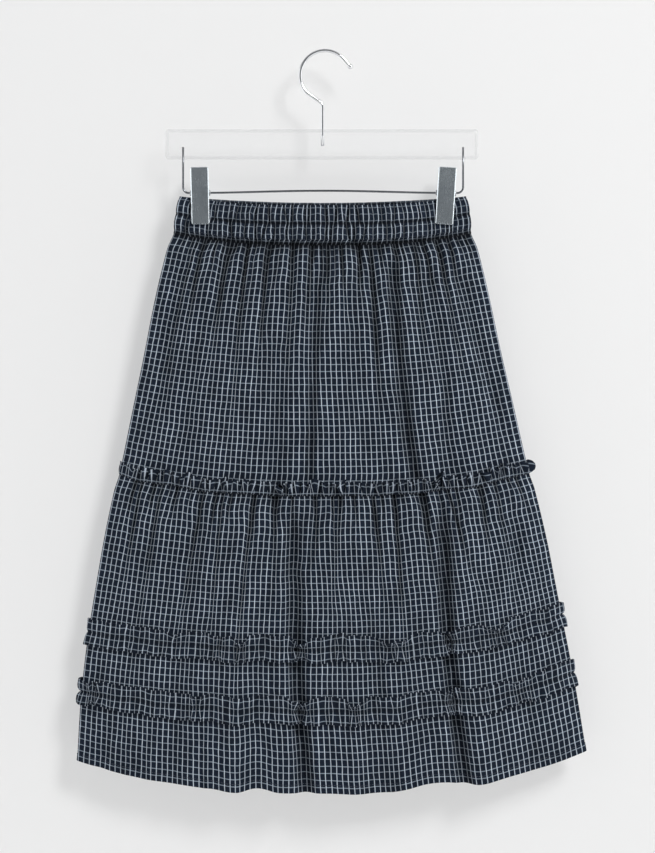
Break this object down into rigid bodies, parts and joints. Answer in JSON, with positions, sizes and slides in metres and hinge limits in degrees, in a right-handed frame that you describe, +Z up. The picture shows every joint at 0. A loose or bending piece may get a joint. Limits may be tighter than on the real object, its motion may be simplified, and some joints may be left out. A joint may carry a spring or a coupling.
{
  "type": "tiered ruffle skirt on clip hanger",
  "caption": "Gathered tiered skirt in navy fine check, with an elastic waist, a heading frill and double-edged ruffles, hanging flat from a clear hanger with chrome hook and clips.",
  "frame": {"origin": "the inside top of the hook's arc, where the rail or peg that holds the hanger bears", "axes": "+Z up, +X to the right of someone who looks at the front of the skirt, +Y from front to back; the front faces -Y"},
  "size_m": [0.58, 0.0528, 0.843],
  "materials": {
    "check_cloth": "light plain-weave cotton, dark navy with fine pale grey-blue check lines, matt with a faint sheen",
    "frill_cloth": "the same checked cotton, cut into narrow gathered strips with neatened edges",
    "clear_acrylic": "clear polished acrylic with softened edges",
    "bright_chrome": "bright plated steel, mirror-smooth wire and faintly brushed clip plates"
  },
  "bodies": {
    "root": {"hanger_bar": "clear_acrylic", "hanger_hook": "bright_chrome", "hanger_wire": "bright_chrome", "clip_left_front": "bright_chrome", "clip_left_back": "bright_chrome", "clip_left_spring": "bright_chrome", "clip_right_front": "bright_chrome", "clip_right_back": "bright_chrome", "clip_right_spring": "bright_chrome", "waistband_front": "check_cloth", "waistband_back": "check_cloth", "upper_tier_front": "check_cloth", "upper_tier_back": "check_cloth", "lower_tier_front": "check_cloth", "lower_tier_back": "check_cloth", "heading_frill": "frill_cloth", "ruffle_upper": "frill_cloth", "ruffle_lower": "frill_cloth"}
  },
  "joints": []
}
